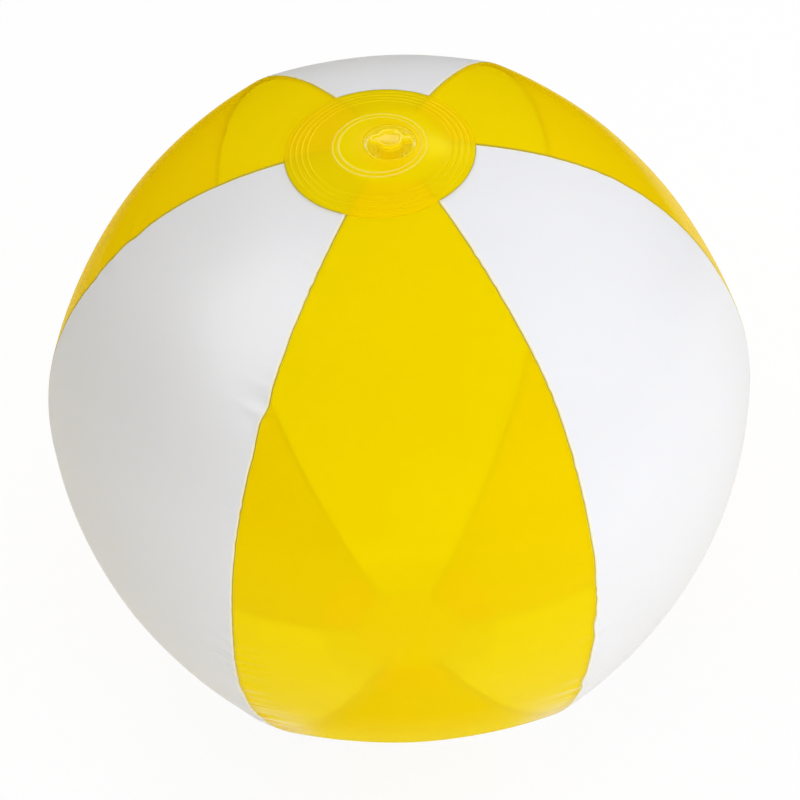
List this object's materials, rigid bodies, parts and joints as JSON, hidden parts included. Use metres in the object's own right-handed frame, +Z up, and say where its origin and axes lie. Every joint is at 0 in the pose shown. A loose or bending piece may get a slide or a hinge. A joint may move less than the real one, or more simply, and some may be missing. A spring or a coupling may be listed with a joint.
{
  "type": "inflatable beach ball",
  "caption": "Inflated beach ball of alternating yellow and white film gores with end discs and a push-in air valve with a tethered stopper.",
  "frame": {"origin": "centre of the flat patch of film on which the ball rests", "axes": "+Z up through both end discs to the valve, -Y towards the middle of the front yellow gore"},
  "size_m": [0.28, 0.2701, 0.2796],
  "materials": {
    "yellow_film": "translucent glossy vinyl film",
    "white_film": "opaque glossy vinyl film",
    "valve_vinyl": "soft clear-tinted moulded vinyl"
  },
  "bodies": {
    "ball": {"yellow_gore_front": "yellow_film", "white_gore_right": "white_film", "yellow_gore_right": "yellow_film", "white_gore_back": "white_film", "yellow_gore_left": "yellow_film", "white_gore_left": "white_film", "valve_disc": "yellow_film", "base_disc": "yellow_film", "valve_flange": "valve_vinyl", "valve_skirt": "valve_vinyl"},
    "valve": {"valve_stem": "valve_vinyl", "plug_strap": "valve_vinyl"},
    "plug": {"stopper_plug": "valve_vinyl"},
    "flap": {"check_flap": "valve_vinyl"}
  },
  "joints": [
    {"name": "valve_pull", "type": "slide", "parent": "ball", "child": "valve", "axis": [0, 0, 1], "range_m": [0, 0.013], "deforming": ["valve_skirt"]},
    {"name": "plug_flip", "type": "hinge", "parent": "valve", "child": "plug", "pos_m": [0.00783, 0, 0.27821], "axis": [0, 1, 0], "range_deg": [0, 150], "deforming": ["plug_strap"]},
    {"name": "flap_swing", "type": "hinge", "parent": "valve", "child": "flap", "pos_m": [0.0062, 0, 0.26319], "axis": [0, -1, 0], "range_deg": [0, 70], "stiffness_Nm_per_rad": 0.0001}
  ]
}
